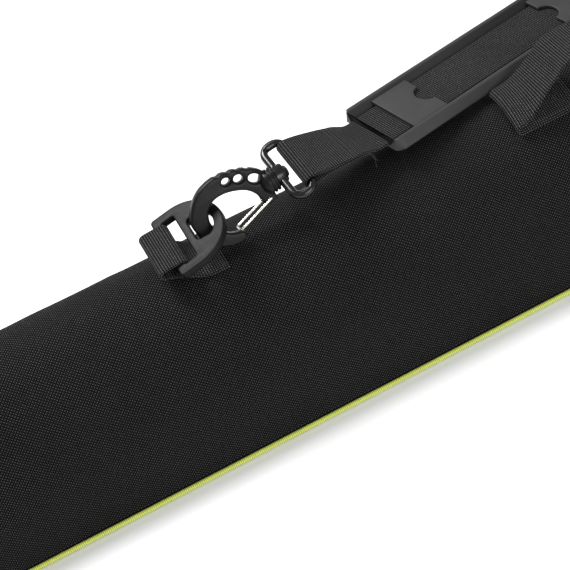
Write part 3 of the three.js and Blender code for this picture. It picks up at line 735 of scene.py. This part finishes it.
def dress_nodes():
    """Materials of the carried-over CAD nodes."""
    looks = {"base_board": COVER_FLAT, "base_pad": LINING, "lid_lining": LINING}
    for side in ("base", "lid"):
        looks["zip_tape_" + side] = TAPE
        looks["zip_coil_" + side] = COIL
    for place in ("left", "centre", "right"):
        looks["rod_cradle_" + place] = FOAM
        looks["rod_strap_" + place] = NARROW
    for side in ("left", "right"):
        looks["zip_slider_" + side] = BLACK_METAL
        looks["zip_pull_" + side] = BLACK_METAL
    for name, material in looks.items():
        NODES[name].data.materials.clear()
        NODES[name].data.materials.append(material)


# ---------- webbing sewn to the lid ----------
def drape(share_at):
    """Bends a strap's section over the dome where it is sewn down."""

    def drop(point, share):
        return (TOP - dome_z(point[1])) * share_at(share)

    return drop


def turned_over(points, side):
    return points if side < 0 else [mirror(p) for p in points]


def anchor_line():
    wrap = RING_THICKNESS / 2 + GAP + WEBBING / 2 + 0.4
    sewn = TOP + GAP + WEBBING / 2
    fold = 4.4
    centre = vec(-ANCHOR_FOLD, TOP_LINE, RING_ORIGIN[2] - 0.5)
    return [
        vec(-ANCHOR_END, TOP_LINE, sewn),
        vec(-ANCHOR_FOLD + 36, TOP_LINE, sewn),
        vec(-ANCHOR_FOLD + 27, TOP_LINE, sewn + 0.4),
        *arc(centre, X, RING_UP, fold, -90, -270, 8),
        *arc(RING_ORIGIN, X, RING_UP, wrap, 110, -90, 10),
        vec(-RING_BAR - 8, TOP_LINE, RING_ORIGIN[2] - wrap + 0.4),
    ]


def build_anchor_tab(name, side):
    line = catmull(turned_over(anchor_line(), side), 0.8)
    across = lambda u: Y + (RING_ACROSS - Y) * smoothstep(u, 0.12, 0.42)
    sewn = drape(lambda u: 1 - smoothstep(u, 0.1, 0.4))
    tab = strap("tab_" + name, line, across, STRAP, drop=sewn)
    rows = []
    for place in (4, 8):
        x = side * (ANCHOR_END + place)
        span = np.linspace(TOP_LINE - STITCH_REACH, TOP_LINE + STITCH_REACH, 60)
        rows.append([vec(x, y, dome_z(y) + GAP + WEBBING) for y in span])
    thread = stitches("tab_stitches_" + name, rows)
    thread.parent = tab
    stand_in(tab, "anchor_tab_" + name)


def stitches(name, rows, pitch=3.0, length=2.2, radius=0.32):
    """Dashes of thread that follow each row of points, a little sunk in the cloth."""
    pieces = []
    for row in rows:
        line = resample(np.array(row), 0.5)
        per = max(2, int(length / 0.5))
        step = int(pitch / 0.5)
        for first in range(0, len(line) - per, step):
            run = line[first : first + per + 1].copy()
            bow = np.sin(np.linspace(0, math.pi, len(run)))
            run[:, 2] += bow * 0.12 - 0.05
            pieces.append(wire(name, run, radius, THREAD, sides=6))
    return join_pieces(name, pieces)


def handle_line():
    sewn = TOP + GAP + WEBBING / 2
    fold = 3.6
    rise = TOP + HANDLE_RISE
    half = [
        vec(-HANDLE_END + 50, 0, sewn),
        vec(-HANDLE_END + 24, 0, sewn),
        vec(-HANDLE_END + 12, 0, sewn),
        *arc(vec(-HANDLE_END, 0, sewn + fold), X, Z, fold, -90, -270, 8),
        vec(-HANDLE_END + 14, 0, TOP + 11),
        vec(-HANDLE_END + 32, 0, TOP + 22),
        vec(-HANDLE_END + 44, 0, rise - 4),
        vec(-GRIP_HALF_LENGTH - 2, 0, rise),
        vec(-GRIP_HALF_LENGTH / 2, 0, rise),
    ]
    line = half + [vec(0, 0, rise)] + [mirror(p) for p in half[::-1]]
    return [p + vec(0, HANDLE_LINE, 0) for p in line]


def build_handle():
    line = catmull(handle_line(), 0.8)
    length = len(line) * 0.8
    sewn_part = 62 / length

    def sewn(u):
        ends = min(u, 1 - u)
        return 1 - smoothstep(ends, sewn_part, sewn_part + 30 / length)

    handle = strap("handle_strap", line, lambda u: Y, STRAP, drop=drape(sewn))
    rows = []
    for side in (-1, 1):
        ends = (side * (HANDLE_END - 45), side * (HANDLE_END - 12))
        sides = (HANDLE_LINE - 17, HANDLE_LINE + 17)
        corners = [(ends[0], sides[0]), (ends[0], sides[1]), (ends[1], sides[1]), (ends[1], sides[0])]
        path = corners + [corners[0], corners[2]]
        for (x0, y0), (x1, y1) in zip(path, path[1:]):
            places = zip(np.linspace(x0, x1, 50), np.linspace(y0, y1, 50))
            rows.append([vec(x, y, dome_z(y) + GAP + WEBBING) for x, y in places])
    thread = stitches("handle_stitches", rows)
    thread.parent = handle
    stand_in(handle, "handle_webbing")


def build_grip():
    """A padded cloth sleeve, a little fuller in the middle, with turned-in ends."""
    stations = np.linspace(-GRIP_HALF_LENGTH, GRIP_HALF_LENGTH, 90)
    columns = 48
    points, uv = [], []
    for x in stations:
        near_end = GRIP_HALF_LENGTH - abs(x)
        full = 0.8 + 0.2 * math.sqrt(max(0.0, 1 - (1 - min(1.0, near_end / 7)) ** 2))
        for k in range(columns):
            turn = 2 * math.pi * k / columns
            crease = 0.35 * noise.noise(Vector((x * 0.06, 4 * math.cos(turn), 4 * math.sin(turn))))
            y = (GRIP_HALF_WIDTH * full + crease) * math.cos(turn)
            z = (GRIP_HALF_HEIGHT * full + crease) * math.sin(turn)
            points.append(vec(x, HANDLE_LINE + y, TOP + HANDLE_RISE + z))
            uv.append((x, 17 * turn))
    faces = grid_faces(len(stations), columns, closed=True)
    faces.append(tuple(range(columns)))
    faces.append(tuple(len(points) - columns + k for k in range(columns)))
    grip = make_mesh("grip", points, faces, GRIP, uv)
    rows = []
    for x in (-GRIP_HALF_LENGTH + 5, GRIP_HALF_LENGTH - 5):
        turns = np.linspace(0, 2 * math.pi, 160)
        middle = vec(x, HANDLE_LINE, TOP + HANDLE_RISE)
        rows.append([middle + vec(0, 24.4 * math.cos(t), 8.0 * math.sin(t)) for t in turns])
    thread = stitches("grip_stitches", rows)
    thread.parent = grip
    stand_in(grip, "handle_grip")


# ---------- rings and hooks ----------
def laid(origin, first, crossing_highlight, third, side):
    """Local millimetres to the row frame, mirrored for the right-hand end."""

    def to_world(x, y, z):
        point = origin + first * x + crossing_highlight * y + third * z
        return point if side < 0 else mirror(point)

    return to_world


def ring_outline():
    half, corner, leg, tip = 29, 3, 13, 46
    loop = arc2(leg, 0, tip - leg, half, -90, 90, 48)
    loop += arc2(-3.4 + corner, half - corner, corner, corner, 90, 180, 8)
    loop += arc2(-3.4 + corner, -half + corner, corner, corner, 180, 270, 8)
    slot = rounded_rectangle(5.3, WEBBING_WIDTH / 2 + 1.2, 1.5, 8.7)
    left, high = 20.4, 11.5
    eye = arc2(27, 0, 11, high + 0.8, -72, 72, 36)
    eye += arc2(left + 3, high - 4, 3, 3, 90, 180, 6)
    eye += arc2(left + 3, -high + 4, 3, 3, 180, 270, 6)
    return loop, [slot, eye]


def hook_outline():
    spine = [
        (61.5, 9.5), (56.6, 15.5), (46.4, 22), (36, 25.6), (25.8, 27),
        (12.7, 24.4), (2.8, 17.4), (-4.1, 7), (-4, -7),
    ]
    under = [(-4, -7), (1, -16.6), (9.5, -23), (16, -25.9), (24.6, -26.4), (26.8, -24.4), (26.8, -20.9)]
    mouth = [(26.8, -20.9), (18, -16.6), (11, -8.6), (8.4, -1.2), (11.4, 7), (18, 11.8), (26.4, 12.2)]
    inside = [(26.4, 12.2), (35.7, 9.3), (44.4, 3.6), (48.8, -4), (49.6, -10.6), (54, -14), (61.5, -13)]
    loop = []
    for part in (spine, under + mouth[1:] + inside[1:]):
        loop += spline2(part, 140)[:-1]
    scallops = [(29.6, 27), (38, 25.4), (45.6, 22.8), (52.4, 19)]
    out = []
    for x, y in loop:
        for cx, cy in scallops:
            away = math.hypot(x - cx, y - cy - 0.8)
            if away < 2.6:
                y -= (2.6 - away) * 0.55
        out.append((x, y))
    return out


def oval(s, v, length, width, turn, count=28):
    c, q = math.cos(math.radians(turn)), math.sin(math.radians(turn))
    loop = []
    for x, y in arc2(0, 0, length, width, 0, 360, count)[:-1]:
        loop.append((s + c * x - q * y, v + q * x + c * y))
    return loop


def build_ring(name, side):
    loop, holes = ring_outline()
    to_world = laid(RING_ORIGIN, PULL, RING_ACROSS, RING_NORMAL, side)
    ring = plate("ring_" + name, loop, holes, RING_THICKNESS, 1.3, RING_PLASTIC, to_world, rounds=3)
    stand_in(ring, "d_ring_" + name)


def build_hook(name, side):
    to_world = laid(HOOK_ORIGIN, HOOK_AXIS, HOOK_SPINE, HOOK_NORMAL, side)
    holes = [oval(33.4, 19.3, 3.2, 2.7, -14), oval(42.4, 15.8, 3.6, 3.1, -26), oval(53, 9.0, 5.2, 3.5, -42)]
    body = plate("hook_" + name, hook_outline(), holes, HOOK_THICKNESS, 2.2, PLASTIC, to_world, rounds=4)
    b = BARREL_START
    rim, groove = BARREL_RADIUS, BARREL_GROOVE
    profile = [(b - 3, 0), (b - 3, 5), (b - 1, 7.4), (b + 1, rim - 0.3), (b + 1.6, rim), (b + 3, rim)]
    profile += [(b + 3.4, groove), (b + 4.4, groove), (b + 4.8, rim), (b + 6, rim), (b + 6.4, groove)]
    profile += [(b + 7.2, groove), (b + 7.6, rim), (b + 8.6, rim), (b + 9, rim - 0.4)]
    profile += [(b + 9, STUD_RADIUS + GAP), (b + 1, STUD_RADIUS + GAP), (b + 1, 0)]
    collar = lathe("hook_collar_" + name, profile, PLASTIC, to_world)
    collar.parent = body
    stand_in(body, "snap_hook_" + name)
    head = BOSS_END + GAP
    stud_profile = [(b + 1.5, 0), (b + 1.5, STUD_RADIUS), (head, STUD_RADIUS), (head, 4.2)]
    stud_profile += [(head + 0.4, 4.4), (head + 1.2, 4.4)]
    stud_profile += [(head + 1.9, 3.6), (head + 2.2, 2.6), (head + 2.2, 0)]
    stud = lathe("stud_" + name, stud_profile, PLASTIC, to_world)
    stand_in(stud, "swivel_stud_" + name)


def build_gate(name, side):
    """One nickel wire: a narrow loop with a round end, its two ends on the pivot."""
    to_world = laid(HOOK_ORIGIN, HOOK_AXIS, HOOK_SPINE, HOOK_NORMAL, side)
    reach = HOOK_THICKNESS / 2 + GAP + GATE_WIRE
    (ps, pv), (ts, tv) = GATE_PIVOT, GATE_TIP
    ds, dv = (ts - ps), (tv - pv)
    size = math.hypot(ds, dv)
    ds, dv = ds / size, dv / size
    bend = 2.6

    def spot(along, out):
        return to_world(ps + ds * along, pv + dv * along, out)

    near = [spot(0, 0), spot(0, reach - bend), spot(bend * 0.3, reach - bend * 0.3), spot(bend, reach)]
    near += [spot(size * 0.5, reach), spot(size - bend, reach), spot(size - bend * 0.3, reach - bend * 0.3)]
    near += [spot(size, reach - bend), spot(size, 0)]
    far_side = [spot(size, -reach + bend), spot(size - bend * 0.3, -reach + bend * 0.3)]
    far_side.append(spot(size - bend, -reach))
    far_side += [spot(size * 0.5, -reach), spot(bend, -reach), spot(bend * 0.3, -reach + bend * 0.3)]
    far_side += [spot(0, -reach + bend), spot(0, 0)]
    line = catmull([np.array(p) for p in near + far_side], 0.4)
    gate = wire("gate_" + name, line, GATE_WIRE, NICKEL, sides=14)
    stand_in(gate, "hook_gate_" + name)


def build_eye(name, side):
    normal = np.cross(HOOK_AXIS, BAR_DIRECTION)
    to_world = laid(HOOK_ORIGIN, HOOK_AXIS, BAR_DIRECTION, normal, side)
    middle, half = (EYE_NEAR + EYE_FAR) / 2, (EYE_FAR - EYE_NEAR) / 2
    loop = rounded_rectangle(half, EYE_HALF_LENGTH, half - 0.5, middle, count=20)
    slot = rounded_rectangle(half - EYE_BAR, EYE_HALF_LENGTH - EYE_BAR, 3, middle)
    eye = plate("eye_" + name, loop, [slot], EYE_BAR, 2.9, GLOSS, to_world, rounds=6)
    start = BARREL_END + GAP
    bore = STUD_RADIUS + GAP
    profile = [(start, bore), (start, 7), (start + 0.6, 7.6)]
    profile += [(BOSS_END - 1, 7.6), (BOSS_END, 6.8), (BOSS_END, bore)]
    boss = lathe("eye_boss_" + name, profile + profile[:1], GLOSS, to_world)
    boss.parent = eye
    stand_in(eye, "swivel_eye_" + name)


# ---------- shoulder strap ----------
LEAD = unit(vec(0.93, 0.22, -0.3))
ALONG = unit(vec(0.946, 0.3, -0.105))
PAD_ACROSS = square_to(vec(-0.28, 0.95, 0.1), ALONG)
PAD_NORMAL = np.cross(ALONG, PAD_ACROSS)
RIGHT_LEAD = unit(vec(-0.86, 0.46, -0.21))
WRAP = EYE_BAR / 2 + GAP + WEBBING / 2 + 0.85
LEFT_END = {"bar": FAR_BAR, "lead": LEAD, "bar_across": BAR_DIRECTION, "across": PAD_ACROSS, "turn": 1}
RIGHT_END = {
    "bar": mirror(FAR_BAR),
    "lead": RIGHT_LEAD,
    "bar_across": mirror(BAR_DIRECTION),
    "across": square_to(mirror(BAR_DIRECTION), RIGHT_LEAD),
    "turn": -1,
}


def across_at(end, distance):
    share = smoothstep(distance, TWIST_FROM, TWIST_TO)
    return unit(end["bar_across"] * (1 - share) + end["across"] * share)


def normal_at(end, distance):
    return unit(np.cross(end["lead"], across_at(end, distance)) * end["turn"])


def upper_ply(end, distance):
    return end["bar"] + normal_at(end, 0) * WRAP + end["lead"] * distance


def folded_end(end):
    forward = square_to(end["lead"], end["bar_across"])
    under = lambda d, drop: upper_ply(end, d) - normal_at(end, d) * drop
    return [
        under(UNDER_PLY, PLY_SPACING),
        under(UNDER_PLY * 0.65, PLY_SPACING),
        under(20, PLY_SPACING + 1.2),
        *arc(end["bar"], forward, normal_at(end, 0), WRAP, -75, -270, 12),
    ]


def shoulder_line():
    lead = [upper_ply(LEFT_END, d) for d in (22, 44)]
    start = upper_ply(LEFT_END, PAD_START)
    straight = [start + ALONG * d for d in (-9, 5, 80, 140, 200, 260, 290, 305)]
    back = [vec(105, 103, TOP - 3), vec(152, 85, TOP + 4)]
    right = [upper_ply(RIGHT_END, d) for d in (100, 75, 50, 25)]
    return folded_end(LEFT_END) + lead + straight + back + right + folded_end(RIGHT_END)[::-1]


def loose_threads(end, count):
    """Frayed ends that hang from the cut edge of the under ply."""
    chance = np.random.default_rng(count)
    pieces = []
    down = -Z
    for k in range(count):
        place = -19 + 38 * k / (count - 1) if k else -19.5
        start = upper_ply(end, UNDER_PLY - 1) - normal_at(end, UNDER_PLY) * PLY_SPACING
        start = start + across_at(end, UNDER_PLY) * place
        length = chance.uniform(5, 10) + (9 if k < 3 else 0)
        swing = end["lead"] * chance.uniform(-0.4, 0.7) + Y * chance.uniform(-0.5, 0.1)
        path = [start, start + (end["lead"] * 0.6 + down * 0.4) * length * 0.3]
        path.append(path[1] + (swing * 0.6 + down * 0.8) * length * 0.4)
        path.append(path[2] + (swing + down * 0.7) * length * 0.4)
        pieces.append(wire("frayed", catmull(path, 0.5), 0.28, THREAD, sides=6))
    return pieces


def build_shoulder_strap():
    line = catmull(shoulder_line(), 0.9)
    length = len(line) * 0.9
    fold = UNDER_PLY + 0.6 * math.pi * WRAP
    pad_end, right_start = fold + 350, length - fold - 110

    def across(u):
        place = u * length
        if place < pad_end:
            return across_at(LEFT_END, abs(place - fold))
        if place > right_start:
            return across_at(RIGHT_END, abs(length - place - fold))
        share = smoothstep(place, pad_end, right_start)
        return PAD_ACROSS * (1 - share) + RIGHT_END["across"] * share

    rows_at = [fold + UNDER_PLY - back for back in SEWN_ROWS]
    sewn = rows_at + [length - place for place in rows_at]
    piece = strap("shoulder_strap_webbing", line, across, STRAP, seams=sewn)
    rows = []
    for end in (LEFT_END, RIGHT_END):
        for d in (UNDER_PLY - back for back in SEWN_ROWS):
            middle = upper_ply(end, d) + normal_at(end, d) * WEBBING / 2
            span = np.linspace(-STITCH_REACH, STITCH_REACH, 60)
            rows.append([middle + across_at(end, d) * a for a in span])
    thread = stitches("shoulder_stitches", rows)
    thread.parent = piece
    frayed = join_pieces("frayed_ends", loose_threads(LEFT_END, 9) + loose_threads(RIGHT_END, 5))
    frayed.parent = piece
    stand_in(piece, "shoulder_webbing")


def pad_section():
    """(across, up) round the pad's channel: flat floor, raised lips, rounded corners."""
    half = PAD_HALF_WIDTH
    corners = [
        (-half + 2, PAD_FLOOR, 2.0), (half - 2, PAD_FLOOR, 2.0), (half, -1.5, 1.5),
        (half - 4.5, PAD_LIP, 1.2), (half - 7.5, PAD_LIP, 1.2), (22, -1.7, 1.5),
        (-22, -1.7, 1.5), (-half + 7.5, PAD_LIP, 1.2), (-half + 4.5, PAD_LIP, 1.2),
        (-half, -1.5, 1.5),
    ]
    loop = []
    count = len(corners)
    for i, (x, y, r) in enumerate(corners):
        here = vec(x, y, 0)
        back = unit(vec(*corners[i - 1][:2], 0) - here)
        ahead = unit(vec(*corners[(i + 1) % count][:2], 0) - here)
        for t in np.linspace(0, 1, 5):
            p = here + back * r * (1 - t) ** 2 + ahead * r * t**2
            loop.append((p[0], p[1]))
    return loop


def build_pad():
    origin = upper_ply(LEFT_END, PAD_START)
    to_world = lambda s, a, n: origin + ALONG * s + PAD_ACROSS * a + PAD_NORMAL * n
    section = pad_section()
    ends = [0, 0.4, 1.2, 2.5, 4, 6, 8, 10, 12, 14]
    stations = ends + list(np.linspace(20, PAD_LENGTH - 20, 60)) + [PAD_LENGTH - e for e in ends[::-1]]
    points, uv = [], []
    for s in stations:
        near_end = min(s, PAD_LENGTH - s)
        limit = PAD_HALF_WIDTH - max(0.0, 6.5 - near_end)
        round_off = 0.8 * (1 - min(1.0, near_end / 1.2)) ** 2
        for a, n in section:
            side = max(-limit, min(limit, a))
            dip = 0.08 * noise.noise(Vector((s * 0.02, a * 0.04, n)))
            points.append(to_world(s, side, n * (1 - 0.12 * round_off) + dip))
            uv.append((s, a + n))
    count = len(section)
    faces = grid_faces(len(stations), count, closed=True)
    faces.append(tuple(range(count)))
    faces.append(tuple(len(points) - count + k for k in range(count)))
    pad = make_mesh("pad", points, faces, RUBBER, uv, sharp=50)
    half = PAD_BRIDGE / 2
    width = 23.3
    notch = arc2(half, 0, 9.5, 9.5, 270, 90, 24)
    loop = [(-half, -width), (half, -width), *notch, (half, width), (-half, width)]
    far_bridge = PAD_LENGTH - PAD_BRIDGE_START - half
    for k, (centre, facing) in enumerate(((PAD_BRIDGE_START + half, 1), (far_bridge, -1))):
        outline = [(facing * x, facing * y) for x, y in loop]
        lay = lambda x, y, z, c=centre: to_world(c + x, y, 2.8 + z)
        bridge = plate(f"pad_bridge_{k}", outline, [], 2.6, 0.7, RUBBER, lay, rounds=3)
        bridge.parent = pad
    stand_in(pad, "shoulder_pad")


# ---------- floor, light and camera ----------
def area_light(name, place, size, power, target=(-0.3, 0, 0.1)):
    data = bpy.data.lights.new(name, "AREA")
    data.shape = "DISK"
    data.size = size
    data.energy = power
    lamp = bpy.data.objects.new(name, data)
    lamp.location = place
    lamp.rotation_euler = (Vector(target) - Vector(place)).to_track_quat("-Z", "Y").to_euler()
    bpy.context.scene.collection.objects.link(lamp)


def build_stage():
    floor_shader = Shader("floor")
    floor = make_mesh(
        "floor",
        [vec(-9000, -9000, -0.5), vec(9000, -9000, -0.5), vec(9000, 9000, -0.5), vec(-9000, 9000, -0.5)],
        [(0, 1, 2, 3)],
        floor_shader.finish((0.9, 0.9, 0.9, 1), 0.9),
    )
    world = bpy.data.worlds.new("studio")
    world.use_nodes = True
    world.node_tree.nodes["Background"].inputs["Color"].default_value = (1, 1, 1, 1)
    world.node_tree.nodes["Background"].inputs["Strength"].default_value = 0.5
    bpy.context.scene.world = world
    area_light("key", (-0.9, 0.9, 2.0), 1.0, 72)
    area_light("front", (0.3, -2.0, 1.1), 1.6, 30)
    bpy.context.scene.view_settings.view_transform = "Standard"


CAMERA_AZIMUTH = math.radians(-12.8)
CAMERA_ELEVATION = math.radians(42)
CAMERA_ROLL = math.radians(18)
CAMERA_DISTANCE = 1.241
CAMERA_TARGET = vec(-0.3355, 0, 0.0692)


def build_camera():
    a, e, r = CAMERA_AZIMUTH, CAMERA_ELEVATION, CAMERA_ROLL
    back = vec(math.sin(a) * math.cos(e), -math.cos(a) * math.cos(e), math.sin(e))
    right = vec(math.cos(a), math.sin(a), 0)
    up = np.cross(back, right)
    x_axis = right * math.cos(r) - up * math.sin(r)
    y_axis = right * math.sin(r) + up * math.cos(r)
    place = CAMERA_TARGET + back * CAMERA_DISTANCE
    data = bpy.data.cameras.new("camera")
    data.lens = 101.05
    data.sensor_width = 36
    data.clip_end = 50
    camera = bpy.data.objects.new("camera", data)
    columns = Matrix((x_axis, y_axis, back)).transposed().to_4x4()
    camera.matrix_world = Matrix.Translation(Vector(place)) @ columns
    bpy.context.scene.collection.objects.link(camera)
    bpy.context.scene.camera = camera


build_lid()
build_piping()
dress_nodes()
build_handle()
build_grip()
for end_name, end_side in (("left", -1), ("right", 1)):
    build_anchor_tab(end_name, end_side)
    build_ring(end_name, end_side)
    build_hook(end_name, end_side)
    build_gate(end_name, end_side)
    build_eye(end_name, end_side)
build_shoulder_strap()
build_pad()
build_stage()
build_camera()
